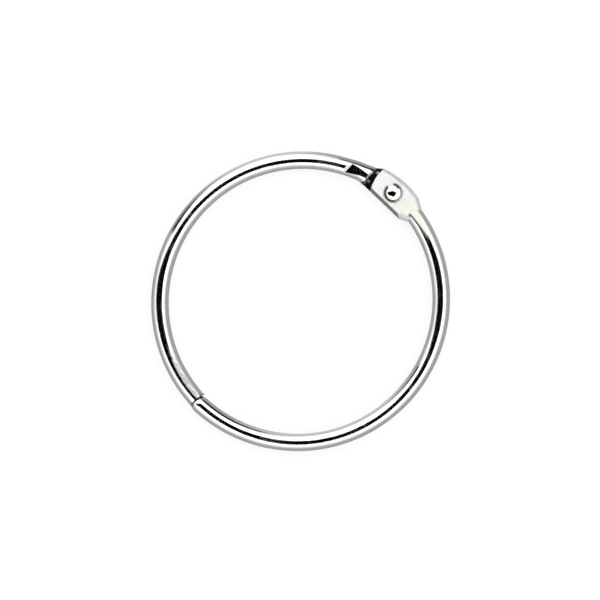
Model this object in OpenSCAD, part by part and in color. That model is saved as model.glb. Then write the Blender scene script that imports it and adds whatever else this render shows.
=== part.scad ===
// Loose-leaf ring that opens like a clam: two half rings of round wire, each
// coined to a flat leaf at one end, riveted leaf on leaf, and meeting nose in
// cup at the closure opposite. Millimetres. The ring lies flat, +Z up, with the
// origin under the ring's centre on the plane that its lowest point touches.

/* [Ring] */
// Mean radius of the two halves' centre lines
ring_r = 27.82; // [22:0.02:40]
// How much larger the lower half's radius is than the upper half's
half_spread = 0.12; // [0:0.01:0.3]
// Diameter of the round wire
wire_d = 3.4; // [3.2:0.05:4.2]
// How far each half's arc centre lies from the ring's centre, away from its own arc
arc_shift = 0.69; // [0:0.01:1]
// Direction in which the lower half's arc centre lies, anticlockwise from +X
shift_angle = 140.4; // [133:0.1:144]
// Direction of the closure from the ring's centre, anticlockwise from +X
closure_angle = 223.5; // [215:0.5:230]

/* [Hinge leaves] */
// Direction of the rivet from the ring's centre, anticlockwise from +X
hinge_angle = 49.25; // [42:0.25:54]
// How far the rivet sits inside the radius of the wire's centre line
rivet_inset = 0.19; // [0:0.01:0.6]
// Thickness of each leaf
leaf_t = 1.44; // [1.2:0.02:1.52]
// Running gap between the two leaves
leaf_gap = 0.06; // [0.04:0.01:0.12]
// Rivet axis to the free end of the leaf
leaf_end = 4.62; // [3.6:0.02:4.8]
// Radius of the leaf's free end
leaf_end_r = 7.3; // [6:0.1:20]
// Offset of the free end's arc towards the leaf's outer edge
leaf_end_skew = 0.9; // [0:0.1:1.2]
// Rivet axis to the outer edge of the leaf
leaf_out = 3.02; // [2.4:0.01:3.6]
// Radius of the leaf's outer edge
leaf_out_r = 17; // [10:0.1:24]
// Rivet axis to the inner edge of the leaf
leaf_in = 2.87; // [2.4:0.01:3.4]
// Slant of the leaves' inner edges, which line up when the ring is closed, in degrees
leaf_in_slant = 2.9; // [0:0.1:6]
// Rivet axis to the slope from the outer edge to the wire
outer_slope = 4.5; // [4.2:0.01:4.7]
// Angle of the outer slope
outer_slope_angle = 35; // [28:1:40]
// Rivet axis to the slope from the inner edge to the wire
inner_slope = 4.33; // [4:0.01:4.6]
// Angle of the inner slope
inner_slope_angle = 21; // [16:1:26]
// Rivet axis to the leaf's root, hidden in the wire
leaf_root = 6.6; // [6.2:0.02:7]
// How far the long edges lean in, from the mating face up to the outer face
edge_lean = 0.65; // [0.3:0.01:0.9]
// How far the inner slope and the root lean in, where the leaf blends into the wire
root_lean = 1; // [0.6:0.02:1.2]
// How far the sheared free end leans in
end_lean = 0.08; // [0.04:0.01:0.3]
// How far each of these edges bulges, as a share of its lean
edge_bulge = 0.16; // [0.13:0.01:0.2]

/* [Forming marks] */
// Angle between the die's flat on the leaf side and the plane of the ring
flat_ramp = 2.1; // [1:0.1:4]
// Rivet axis to the place where that flat runs out on top of the wire
flat_reach = 10.9; // [9:0.1:14]
// Rivet axis to the lip of the shoulder
shoulder_lip = 5.62; // [5.4:0.02:6.4]
// Radius in the corner between the shoulder and the leaf
shoulder_r = 0.5; // [0.3:0.05:0.6]
// Length of the slanted edge above the lip, along the wire
shoulder_bevel = 0.35; // [0.3:0.05:1.2]
// How far the wire swells to either side at the upper half's shoulder
shoulder_swell = 0.34; // [0.1:0.02:0.45]
// Length of the clamp mark behind the shoulder
clamp_len = 3.7; // [2.5:0.1:6]
// Depth of the clamp mark at its deep end
clamp_depth = 0.19; // [0.05:0.01:0.3]
// Length of the steep wall at the deep end of the clamp mark
clamp_wall = 0.3; // [0.2:0.05:1]
// Lean of the clamp mark towards the inside of the ring, in degrees
clamp_lean = 6; // [0:0.5:10]
// Skew of its deep end from square across the wire, in degrees
clamp_skew = 16; // [0:1:20]

/* [Closure] */
// Plan radius of the curved joint between nose and cup
joint_r = 4; // [3:0.1:8]
// Gap left in the closed joint
joint_gap = 0.09; // [0.04:0.01:0.15]
// Length over which the nose rounds off
nose_len = 1.2; // [0.6:0.05:1.5]
// Radius of that rounding along the wire
nose_round = 3; // [2.6:0.1:6]
// Radius of the nose's end where the rounding meets its face
nose_face_r = 1.3; // [1.2:0.05:1.5]
// Radius of the locating pin on the nose
pin_r = 0.5; // [0.4:0.05:0.8]
// How far that pin stands out of the nose
pin_len = 0.7; // [0.4:0.05:1]
// Clearance round the pin in its socket
pin_clear = 0.07; // [0.05:0.01:0.12]
// Length of the relief flat inside the nose
relief_len = 2.7; // [1.5:0.1:4]
// Depth of that flat at the nose
relief_depth = 0.14; // [0.1:0.02:0.3]
// Tilt of that flat from the plane of the ring, in degrees
relief_tilt = 66; // [50:1:75]

/* [Rivet] */
// Radius of the rivet's shank
shank_r = 0.95; // [0.8:0.05:1.2]
// Running clearance round the shank, and under the low head
rivet_clear = 0.04; // [0.02:0.01:0.08]
// Radius of both heads
head_r = 1.85; // [1.6:0.05:2.2]
// Height of the domed head
dome_h = 1; // [0.6:0.05:1.3]
// Height of the low head
low_head_h = 0.4; // [0.3:0.02:0.6]

/* [Hidden] */
$fn = 96;
plate = [0.80, 0.81, 0.82];
wire_r = wire_d / 2;
half_gap = leaf_gap / 2;
// Both leaves' outer faces, from the plane that parts them
leaf_face = half_gap + leaf_t;
low_head_z = -leaf_face - rivet_clear;
// Height of the parting plane above the lowest point
mid_z = max(low_head_h - low_head_z, wire_r);
// Larger than anything that is trimmed
beyond = 3 * wire_d;
upper_r = ring_r - half_spread / 2;
lower_r = ring_r + half_spread / 2;
// The point that the ring's directions start from, set so that its box stays centred
heart = half_spread / 2 * [-1, 1];
hinge_at = heart + (ring_r - rivet_inset) * [cos(hinge_angle), sin(hinge_angle)];
shift = arc_shift * [cos(shift_angle), sin(shift_angle)];
upper_centre = heart - shift;
lower_centre = heart + shift;
// The closure is on the lower half's centre line. The upper half's runs a little inside it.
closure_dir = [cos(closure_angle), sin(closure_angle)];
joint_at = heart + closure_dir *
    (shift * closure_dir + sqrt(lower_r^2 - arc_shift^2 + (shift * closure_dir)^2));
// Arc left over at the closure, for the nose and the cup to be cut in
spare = 1.2;
// The wire's end is hidden inside the leaf, this far from the rivet axis
wire_tuck = head_r;
// What the side plates of a leaf reach past its faces, so that they trim it cleanly
spill = 0.1;

// A point of the ring in the hinge's own frame: rivet at the origin, +Y outward
function in_hinge(p) =
    let (d = p - hinge_at, a = 90 - hinge_angle)
    [d.x * cos(a) - d.y * sin(a), d.x * sin(a) + d.y * cos(a)];
function flip(p) = [-p.x, p.y];
function direction(p, centre) = atan2(p.y - centre.y, p.x - centre.x);
// Where the wire's centre line has this X, as a turn round the arc's centre
function turn_at(x, centre, arc_r) = acos((x - centre.x) / arc_r);
// How far an arc of the ring bows away from its tangent over a length
function bow(length) = length^2 / (2 * ring_r);

module in_hinge_frame() {
    translate([hinge_at.x, hinge_at.y, mid_z]) rotate(hinge_angle - 90) children();
}

// +X points from the lower half's nose into the upper half's cup
module in_joint_frame() {
    translate([joint_at.x, joint_at.y, mid_z]) rotate(closure_angle - 90) children();
}

// Section of a leaf at an edge. The corner of the mating face is at the origin, and
// the edge leans in from there in a shallow arc.
module edge_section(back, lean) {
    half_chord = sqrt(lean^2 + leaf_t^2) / 2;
    sag = edge_bulge * lean;
    edge_r = (half_chord^2 + sag^2) / (2 * sag);
    arc_in = [leaf_t, lean] * (edge_r - sag) / (2 * half_chord);
    arc_centre = [-lean / 2 - arc_in.x, leaf_t / 2 - arc_in.y];
    intersection() {
        translate([-back, -spill]) square([back, leaf_t + 2 * spill]);
        union() {
            translate(arc_centre) circle(edge_r, $fn = 360);
            translate([arc_centre.x - back - edge_r, -edge_r]) square([back + edge_r, 2 * edge_r]);
        }
    }
}

// A plate with one round edge of radius r
module round_plate(r, lean) {
    rotate_extrude() intersection() {
        translate([r, 0]) edge_section(r, lean);
        translate([0, -leaf_t]) square([r, 3 * leaf_t]);
    }
}

// A plate with one straight edge, at X = 0, reaching back along -X
module straight_plate(lean) {
    rotate([90, 0, 0]) linear_extrude(2 * beyond, center = true)
        edge_section(2 * beyond, lean);
}

// The flattened end of the wire, by what its edges leave of a flat slab
module leaf_blank(slant) {
    translate([0, 0, half_gap]) intersection() {
        translate([-beyond, -beyond, 0]) cube([2 * beyond, 2 * beyond, leaf_t]);
        translate([leaf_end_r - leaf_end, leaf_end_skew, 0]) round_plate(leaf_end_r, end_lean);
        translate([0, leaf_out - leaf_out_r, 0]) round_plate(leaf_out_r, edge_lean);
        rotate(-90 - slant) translate([leaf_in, 0, 0]) straight_plate(edge_lean);
        rotate(90 - outer_slope_angle) translate([outer_slope, 0, 0])
            straight_plate(edge_lean);
        rotate(inner_slope_angle - 90) translate([inner_slope, 0, 0])
            straight_plate(root_lean);
        translate([leaf_root, 0, 0]) straight_plate(root_lean);
    }
}

// The wire from inside the leaf, clockwise to just past the closure
module wire(centre, arc_r, tip) {
    from = turn_at(wire_tuck, centre, arc_r);
    past = direction(tip, centre) - spare / arc_r * 180 / PI;
    sweep = (from - past + 720) % 360;
    translate(centre) rotate_extrude(angle = sweep, start = from - sweep, $fn = 180)
        translate([arc_r, 0]) circle(wire_r);
}

// What the die takes off the leaf side: a slightly tilted flat
module leaf_side_flat() {
    translate([flat_reach, 0, wire_r]) rotate([0, -flat_ramp, 0])
        translate([-2 * beyond, -beyond, 0]) cube([2 * beyond, 2 * beyond, beyond]);
}

// The room for the other leaf: a step up to the shoulder, with a round corner
// and a slanted outer edge
module shoulder_room() {
    corner = [for (a = [90:-10:0]) [
        shoulder_lip - shoulder_r + shoulder_r * cos(a),
        half_gap - shoulder_r + shoulder_r * sin(a)
    ]];
    bevel_z = min(shoulder_bevel - wire_r, half_gap - shoulder_r);
    rotate([90, 0, 0]) linear_extrude(2 * beyond, center = true) polygon(concat(
        [[-beyond, half_gap]],
        corner,
        [
            [shoulder_lip, bevel_z],
            [shoulder_lip + beyond, bevel_z - beyond],
            [-beyond, bevel_z - beyond]
        ]
    ));
}

// The mark of the clamp that held the wire behind the shoulder
module clamp_mark(centre, arc_r) {
    translate(centre) rotate(turn_at(shoulder_lip + shoulder_bevel, centre, arc_r) - 90)
        translate([0, arc_r, -wire_r]) rotate([-clamp_lean, 0, clamp_skew])
        rotate([90, 0, 0]) linear_extrude(2 * beyond, center = true) polygon([
            [0, 0],
            [clamp_len, clamp_depth],
            [clamp_len + clamp_wall, 0],
            [clamp_len + 2 * clamp_wall, -clamp_depth],
            [0, -beyond]
        ]);
}

// The wire's metal, pushed out to both sides where the shoulder was formed
module swell(centre, arc_r, by) {
    for (side = [-1, 1])
        translate(centre) rotate(turn_at(shoulder_lip, centre, arc_r))
            translate([arc_r + side * by, 0, 0]) rotate([90, 0, 0]) sphere(wire_r);
}

// One half from hinge to closure, in the hinge's frame, with its leaf above the
// parting plane and its shoulder below
module half_blank(centre, arc_r, tip, slant, swell_by = 0) {
    difference() {
        union() {
            difference() {
                union() {
                    wire(centre, arc_r, tip);
                    if (swell_by > 0) swell(centre, arc_r, swell_by);
                }
                leaf_side_flat();
            }
            leaf_blank(slant);
        }
        shoulder_room();
        clamp_mark(centre, arc_r);
        cylinder(h = 2 * beyond, r = shank_r + rivet_clear, center = true);
    }
}

// The rounded nose, turned about the wire's axis: an arc from the wire in to the face
module nose_form() {
    half_chord = sqrt(nose_len^2 + (wire_r - nose_face_r)^2) / 2;
    arc_in = [nose_len, wire_r - nose_face_r] * sqrt(nose_round^2 - half_chord^2) / (2 * half_chord);
    arc_centre = [(wire_r + nose_face_r) / 2 - arc_in.x, -nose_len / 2 - arc_in.y];
    rotate([0, 90, 0]) rotate_extrude() intersection() {
        translate(arc_centre) circle(nose_round, $fn = 360);
        translate([0, arc_centre.y]) square([2 * wire_d, beyond]);
    }
}

// Everything past the rounded nose of the lower half
module past_nose() {
    difference() {
        translate([-nose_len - bow(nose_len), -beyond / 2, -beyond / 2])
            cube([beyond, beyond, beyond]);
        intersection() {
            translate([0, -bow(nose_len), 0]) nose_form();
            translate([-joint_r, 0, 0]) cylinder(h = beyond, r = joint_r, center = true);
        }
    }
}

// The flat on the nose's inner side, deepest at the end of the nose
module nose_relief() {
    fall = relief_depth + bow(relief_len) * sin(relief_tilt);
    rotate([relief_tilt, 0, 0]) translate([0, 0, wire_r - relief_depth])
        rotate([0, atan(fall / relief_len), 0])
        translate([-relief_len, -beyond / 2, 0]) cube([beyond, beyond, beyond]);
}

// Everything on the nose's side of the cup, and the socket for its pin
module cup_room() {
    translate([-joint_r, 0, 0]) cylinder(h = beyond, r = joint_r + joint_gap, center = true);
    rotate([0, 90, 0]) cylinder(h = pin_len + 2 * pin_clear, r = pin_r + pin_clear);
}

module lower_half() {
    color(plate) {
        difference() {
            in_hinge_frame()
                half_blank(in_hinge(lower_centre), lower_r, in_hinge(joint_at), leaf_in_slant);
            in_joint_frame() {
                past_nose();
                nose_relief();
            }
        }
        in_joint_frame() rotate([0, 90, 0]) translate([0, 0, -wire_r])
            cylinder(h = wire_r + pin_len, r = pin_r);
    }
}

module upper_half() {
    color(plate) difference() {
        in_hinge_frame() rotate([0, 180, 0])
            half_blank(flip(in_hinge(upper_centre)), upper_r, flip(in_hinge(joint_at)),
                -leaf_in_slant, shoulder_swell);
        in_joint_frame() cup_room();
    }
}

module domed_head() {
    rotate_extrude() polygon(concat(
        [[0, 0]],
        [for (a = [0:6:90]) [head_r * cos(a), dome_h * sin(a)]]
    ));
}

module hinge_rivet() {
    color(plate) in_hinge_frame() {
        translate([0, 0, low_head_z]) cylinder(h = leaf_face - low_head_z, r = shank_r);
        translate([0, 0, leaf_face]) domed_head();
        translate([0, 0, low_head_z - low_head_h]) cylinder(h = low_head_h, r = head_r);
    }
}

upper_half();
lower_half();
hinge_rivet();
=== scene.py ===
"""Looks of a loose-leaf ring: two plated wire halves, riveted leaf on leaf, closed nose in cup.

Shapes are made in millimetres in the hinge's own frame (rivet at the origin, +X clockwise
along the ring, +Y outward, +Z up from the parting plane of the leaves) and set into the row
frame, in metres, at the end.
"""

import math

import bmesh
import bpy
from mathutils import Matrix, Vector


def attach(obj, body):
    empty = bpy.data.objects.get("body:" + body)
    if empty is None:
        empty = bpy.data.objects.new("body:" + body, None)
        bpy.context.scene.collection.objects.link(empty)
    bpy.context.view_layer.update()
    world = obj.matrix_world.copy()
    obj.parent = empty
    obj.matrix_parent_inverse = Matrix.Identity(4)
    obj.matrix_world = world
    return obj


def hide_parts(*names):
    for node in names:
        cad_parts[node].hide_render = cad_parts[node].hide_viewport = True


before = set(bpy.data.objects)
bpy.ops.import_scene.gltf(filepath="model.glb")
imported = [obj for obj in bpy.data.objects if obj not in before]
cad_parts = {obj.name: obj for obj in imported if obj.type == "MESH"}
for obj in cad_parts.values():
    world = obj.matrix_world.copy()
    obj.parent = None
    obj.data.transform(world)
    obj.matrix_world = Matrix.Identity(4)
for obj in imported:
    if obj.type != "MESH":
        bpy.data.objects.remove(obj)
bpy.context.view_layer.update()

# ---------------------------------------------------------------- the ring's measures, mm

RING_R, HALF_SPREAD = 27.82, 0.12
UPPER_R, LOWER_R = RING_R - HALF_SPREAD / 2, RING_R + HALF_SPREAD / 2
WIRE_R = 1.7
ARC_SHIFT, SHIFT_ANGLE = 0.69, 140.4
CLOSURE_ANGLE = 223.5
HINGE_ANGLE = 49.25
RIVET_INSET = 0.19
MID_Z = 1.91

HALF_GAP = 0.03
LEAF_T = 1.44
LEAF_FACE = HALF_GAP + LEAF_T
LEAF_END, LEAF_END_R, LEAF_END_SKEW = 4.62, 7.3, 0.9
LEAF_OUT, LEAF_OUT_R = 3.02, 17
LEAF_IN, LEAF_IN_SLANT = 2.87, 2.9
OUTER_SLOPE, OUTER_SLOPE_ANGLE = 4.5, 35
INNER_SLOPE, INNER_SLOPE_ANGLE = 4.33, 21
LEAF_ROOT = 6.6
EDGE_LEAN, ROOT_LEAN, END_LEAN = 0.65, 1.0, 0.08
EDGE_BULGE = 0.16

FLAT_RAMP, FLAT_REACH = 2.1, 10.9
SHOULDER_LIP, SHOULDER_R, SHOULDER_BEVEL = 5.62, 0.5, 0.35
SHOULDER_SWELL = 0.34
CLAMP_LEN, CLAMP_DEPTH, CLAMP_WALL = 3.7, 0.19, 0.3
CLAMP_LEAN, CLAMP_SKEW = 6, 16

JOINT_R, JOINT_GAP = 4, 0.09
NOSE_LEN, NOSE_ROUND, NOSE_FACE_R = 1.2, 3.0, 1.3
NOSE_STANDS = 0.06
PIN_R, PIN_LEN, PIN_CLEAR = 0.5, 0.7, 0.07
RELIEF_LEN, RELIEF_DEPTH, RELIEF_TILT = 2.7, 0.14, 66

SHANK_R, RIVET_CLEAR = 0.95, 0.04
HEAD_R, DOME_H, LOW_HEAD_H, LOW_RIM_R = 1.85, 1.0, 0.4, 0.12
CROWN_R, DOME_EDGE = 2.6, 1.45
LOW_HEAD_Z = -LEAF_FACE - RIVET_CLEAR

BEYOND = 10.2  # past the whole hinge
CLEAR_OF = 3  # well out of the wire
SPARE = 1.2  # left on a raw tip, for nose and cup to be cut from
WIRE_TUCK = HEAD_R
ROUND = 112  # sides of the wire's section
END_STEPS, PLAIN_STEPS, TIP_STEPS = 56, 170, 24  # along the wire's three lengths
FLUSH = 0.002  # how close faces and points have to lie to be one
ALIKE = 0.9999  # how far along each other two directions point to be one
HALF_SHARP, RIVET_SHARP = 24, 40  # degrees from which an edge is sharp


def turned(angle, radius=1.0):
    return Vector((math.cos(math.radians(angle)), math.sin(math.radians(angle)), 0)) * radius


HEART = Vector((-HALF_SPREAD / 2, HALF_SPREAD / 2, 0))
HINGE_AT = HEART + turned(HINGE_ANGLE, RING_R - RIVET_INSET)
SHIFT = turned(SHIFT_ANGLE, ARC_SHIFT)
UPPER_CENTRE, LOWER_CENTRE = HEART - SHIFT, HEART + SHIFT
# the closure is on the lower half's centre line; the upper half's runs a little inside it
CLOSURE = turned(CLOSURE_ANGLE)
TOWARD = SHIFT.dot(CLOSURE)
JOINT_AT = HEART + CLOSURE * (TOWARD + math.sqrt(LOWER_R**2 - ARC_SHIFT**2 + TOWARD**2))


def move(x=0.0, y=0.0, z=0.0):
    return Matrix.Translation((x, y, z))


def spun(angle, axis):
    return Matrix.Rotation(math.radians(angle), 4, axis)


HINGE_FRAME = move(HINGE_AT.x, HINGE_AT.y, MID_Z) @ spun(HINGE_ANGLE - 90, "Z")
# +X points from the lower half's nose into the upper half's cup
JOINT_FRAME = move(JOINT_AT.x, JOINT_AT.y, MID_Z) @ spun(CLOSURE_ANGLE - 90, "Z")
TURN_OVER = spun(180, "Y")
METRES = Matrix.Scale(0.001, 4)


def bow(length):
    """How far an arc of the ring bows away from its tangent over a length."""
    return length**2 / (2 * RING_R)


def in_hinge(place):
    local = HINGE_FRAME.inverted() @ Vector((place.x, place.y, MID_Z))
    return Vector((local.x, local.y, 0))


def arc(middle, radius, first, last, steps):
    """Points of an arc round its middle, from one angle to another."""
    turns = (first + (last - first) * k / steps for k in range(steps + 1))
    return [(middle[0] + radius * math.cos(a), middle[1] + radius * math.sin(a)) for a in turns]


# ---------------------------------------------------------------- workshop helpers


def linked(name, shape):
    """A bmesh as an object of the scene."""
    mesh = bpy.data.meshes.new(name)
    shape.to_mesh(mesh)
    shape.free()
    made = bpy.data.objects.new(name, mesh)
    bpy.context.scene.collection.objects.link(made)
    return made


def work_object(name, shape):
    """A workpiece, its faces pointing outwards."""
    bmesh.ops.recalc_face_normals(shape, faces=shape.faces)
    return linked(name, shape)


def scrap(made):
    mesh = made.data
    bpy.data.objects.remove(made)
    bpy.data.meshes.remove(mesh)


def machined(blank, *steps):
    """The blank after its steps, each an operation and its tool, which is used up."""
    for operation, tool in steps:
        step = blank.modifiers.new(operation, "BOOLEAN")
        step.operation, step.solver, step.object = operation, "EXACT", tool
    graph = bpy.context.evaluated_depsgraph_get()
    shape = bmesh.new()
    shape.from_object(blank, graph)
    bmesh.ops.remove_doubles(shape, verts=shape.verts, dist=0.0005)
    name = blank.name
    scrap(blank)
    for _, tool in steps:
        scrap(tool)
    return work_object(name, shape)


def placed(made, place):
    made.data.transform(place)
    return made


def section_solid(name, outline, reach=2 * BEYOND):
    """A flat outline in X and Z, drawn out along Y to both sides."""
    shape = bmesh.new()
    face = shape.faces.new([shape.verts.new((x, -reach / 2, z)) for x, z in outline])
    pulled = bmesh.ops.extrude_face_region(shape, geom=[face], use_keep_orig=True)
    corners = [part for part in pulled["geom"] if isinstance(part, bmesh.types.BMVert)]
    bmesh.ops.translate(shape, verts=corners, vec=(0, reach, 0))
    return work_object(name, shape)


def turned_solid(name, outline, steps=256):
    """An outline in X and Z, from the axis round to the axis, turned on a lathe about Z."""
    shape = bmesh.new()
    corners = [shape.verts.new((x, 0, z)) for x, z in outline]
    for a, b in zip(corners, corners[1:]):
        shape.edges.new((a, b))
    line = shape.verts[:] + shape.edges[:]
    bmesh.ops.spin(
        shape, geom=line, cent=(0, 0, 0), axis=(0, 0, 1), angle=2 * math.pi, steps=steps, use_merge=True
    )
    bmesh.ops.remove_doubles(shape, verts=shape.verts, dist=0.0001)
    return work_object(name, shape)


def round_bar(name, radius, low, high, sides=96):
    return turned_solid(name, [(0, low), (radius, low), (radius, high), (0, high)], sides)


def block(name, low, high):
    shape = bmesh.new()
    bmesh.ops.create_cube(shape, size=1)
    bmesh.ops.scale(shape, verts=shape.verts, vec=Vector(high) - Vector(low))
    bmesh.ops.translate(shape, verts=shape.verts, vec=(Vector(high) + Vector(low)) / 2)
    return work_object(name, shape)


# ---------------------------------------------------------------- the coined leaf

SLAB_SPARE = 0.035  # below the mating face


def edge_profile(lean):
    """How an edge leans in, in a shallow arc, from mating to outer face: how far in, how high."""
    half_chord = math.hypot(lean, LEAF_T) / 2
    sag = EDGE_BULGE * lean
    edge_r = (half_chord**2 + sag**2) / (2 * sag)
    share = (edge_r - sag) / (2 * half_chord)
    middle = (lean / 2 + LEAF_T * share, LEAF_T / 2 - lean * share)
    first = math.atan2(-middle[1], middle[0])
    last = math.atan2(LEAF_T - middle[1], middle[0] - lean)
    # the arc runs a little past both faces, so that the slab's planes cut it cleanly
    turns = [first + (last - first) * (k - 0.5) / 12 for k in range(14)]
    return [(middle[0] - edge_r * math.cos(a), middle[1] + edge_r * math.sin(a)) for a in turns]


def plate_outline(back, reach, lean):
    """A plate's section, from its back to its leaning edge, standing a little past both faces."""
    wall = [(reach - inward, height) for inward, height in edge_profile(lean)]
    low, high = -0.5, LEAF_T + 0.5
    return [(back, low), (reach + 0.1, low), *wall, (wall[-1][0] - 0.2, high), (back, high)]


def round_plate(radius, lean):
    return turned_solid("round_plate", plate_outline(0, radius, lean), 720 if radius > 10 else 360)


def straight_plate(reach, lean, towards):
    made = section_solid("straight_plate", plate_outline(-2 * BEYOND, reach, lean), 4 * BEYOND)
    return placed(made, spun(towards, "Z"))


def coined_leaf(slant):
    # the slab reaches below its mating face, which the shoulder's room then cuts
    slab = block("leaf", (-BEYOND, -BEYOND, -SLAB_SPARE), (BEYOND, BEYOND, LEAF_T))
    end = placed(round_plate(LEAF_END_R, END_LEAN), move(LEAF_END_R - LEAF_END, LEAF_END_SKEW))
    outside = placed(round_plate(LEAF_OUT_R, EDGE_LEAN), move(0, LEAF_OUT - LEAF_OUT_R))
    leaf = machined(
        slab,
        ("INTERSECT", end),
        ("INTERSECT", outside),
        ("INTERSECT", straight_plate(LEAF_IN, EDGE_LEAN, -90 - slant)),
        ("INTERSECT", straight_plate(OUTER_SLOPE, EDGE_LEAN, 90 - OUTER_SLOPE_ANGLE)),
        ("INTERSECT", straight_plate(INNER_SLOPE, ROOT_LEAN, INNER_SLOPE_ANGLE - 90)),
        ("INTERSECT", straight_plate(LEAF_ROOT, ROOT_LEAN, 0)),
    )
    return placed(leaf, move(z=HALF_GAP))


# ---------------------------------------------------------------- the drawn wire

HINGE_END = 13.5  # X of the ring where the formed end goes over into the plain wire
TIP_ARC = 9.0  # degrees of the arc that belong to the formed tip
# where along X the swelling at the shoulder goes down, and by what share, outside and inside the ring
SWELL_OUTSIDE, SWELL_INSIDE = ((5.9, 7.0, 0.45), (7.2, 11, 0.55)), ((5.9, 7.4, 1.0),)


def turn_at(x, centre, arc_r):
    """Where the wire's centre line has this X, as a turn round the arc's centre."""
    return math.degrees(math.acos((x - centre.x) / arc_r))


def wire_length(name, centre, arc_r, start, end, steps, capped=True):
    """A length of the round wire, swept clockwise from one turn to another."""
    shape = bmesh.new()
    section = bmesh.ops.create_circle(shape, segments=ROUND, radius=WIRE_R)["verts"]
    at_start = move(*centre) @ spun(start, "Z") @ move(arc_r) @ spun(90, "X")
    bmesh.ops.transform(shape, matrix=at_start, verts=section)
    if capped:
        bmesh.ops.contextual_create(shape, geom=shape.edges[:])
    swept = bmesh.ops.spin(
        shape,
        geom=shape.edges[:],
        cent=centre,
        axis=(0, 0, 1),
        angle=math.radians(end - start),
        steps=steps,
    )
    if capped:
        last = [part for part in swept["geom_last"] if isinstance(part, bmesh.types.BMEdge)]
        bmesh.ops.contextual_create(shape, geom=last)
    return work_object(name, shape)


def swell(made, centre, arc_r):
    """The wire's metal, pushed out to both sides where shoulder and clamp pressed on it."""
    for vertex in made.data.vertices:
        flat = Vector((vertex.co.x, vertex.co.y, 0)) - centre
        radial = flat.normalized()
        if radial.y < 0:
            continue
        aside = flat.length - arc_r
        x = centre.x + radial.x * arc_r
        left = 1.0
        for low, high, share in SWELL_OUTSIDE if aside > 0 else SWELL_INSIDE:
            left -= smooth(low, high, x) * share
        vertex.co += radial * (SHOULDER_SWELL * left) * aside / WIRE_R
    return made


def smooth(low, high, x):
    t = min(1.0, max(0.0, (x - low) / (high - low)))
    return t * t * (3 - 2 * t)


def shoulder_room():
    """The room for the other leaf: a step up to the shoulder, with a round corner and a slanted lip."""
    corner = arc((SHOULDER_LIP - SHOULDER_R, HALF_GAP - SHOULDER_R), SHOULDER_R, math.pi / 2, 0, 9)
    bevel_z = SHOULDER_BEVEL - WIRE_R
    below = bevel_z - CLEAR_OF
    lip = [(SHOULDER_LIP, bevel_z), (SHOULDER_LIP + CLEAR_OF, below)]
    return section_solid("shoulder_room", [(-BEYOND, HALF_GAP), *corner, *lip, (-BEYOND, below)])


def clamp_mark(centre, arc_r):
    """The wedge that the clamp pressed into the wire behind the shoulder."""
    made = section_solid(
        "clamp_mark",
        [
            (0, 0),
            (CLAMP_LEN, CLAMP_DEPTH),
            (CLAMP_LEN + CLAMP_WALL, 0),
            (CLAMP_LEN + 2 * CLAMP_WALL, -CLAMP_DEPTH),
            (0, -CLEAR_OF),
        ],
        8,
    )
    return placed(
        made,
        move(*centre)
        @ spun(turn_at(SHOULDER_LIP + SHOULDER_BEVEL, centre, arc_r) - 90, "Z")
        @ move(0, arc_r, -WIRE_R)
        @ spun(CLAMP_SKEW, "Z")
        @ spun(-CLAMP_LEAN, "X"),
    )


def leaf_side_flat():
    """What the die takes off the leaf side: a slightly tilted flat."""
    return placed(
        block("leaf_side_flat", (-2 * BEYOND, -5, 0), (BEYOND / 2, 8, 4)),
        move(FLAT_REACH, 0, WIRE_R) @ spun(-FLAT_RAMP, "Y"),
    )


def half_parts(centre, arc_r, tip, slant, swollen):
    """The formed hinge end, the plain wire and the raw tip of one half, leaf side up."""
    first = turn_at(WIRE_TUCK, centre, arc_r)
    join = turn_at(HINGE_END, centre, arc_r)
    past = math.degrees(math.atan2(tip.y - centre.y, tip.x - centre.x)) - math.degrees(SPARE / arc_r)
    while past > join:
        past -= 360
    tip_join = past + TIP_ARC
    end = wire_length("hinge_end", centre, arc_r, first, join, END_STEPS)
    if swollen:
        swell(end, centre, arc_r)
    end = machined(
        end,
        ("DIFFERENCE", leaf_side_flat()),
        ("UNION", coined_leaf(slant)),
        ("DIFFERENCE", shoulder_room()),
        ("DIFFERENCE", clamp_mark(centre, arc_r)),
        ("DIFFERENCE", round_bar("bore", SHANK_R + RIVET_CLEAR, -4, 4)),
    )
    plain = wire_length("plain_wire", centre, arc_r, join, tip_join, PLAIN_STEPS, capped=False)
    raw = wire_length("raw_tip", centre, arc_r, tip_join, past, TIP_STEPS)
    return end, plain, raw, join, tip_join


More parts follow.
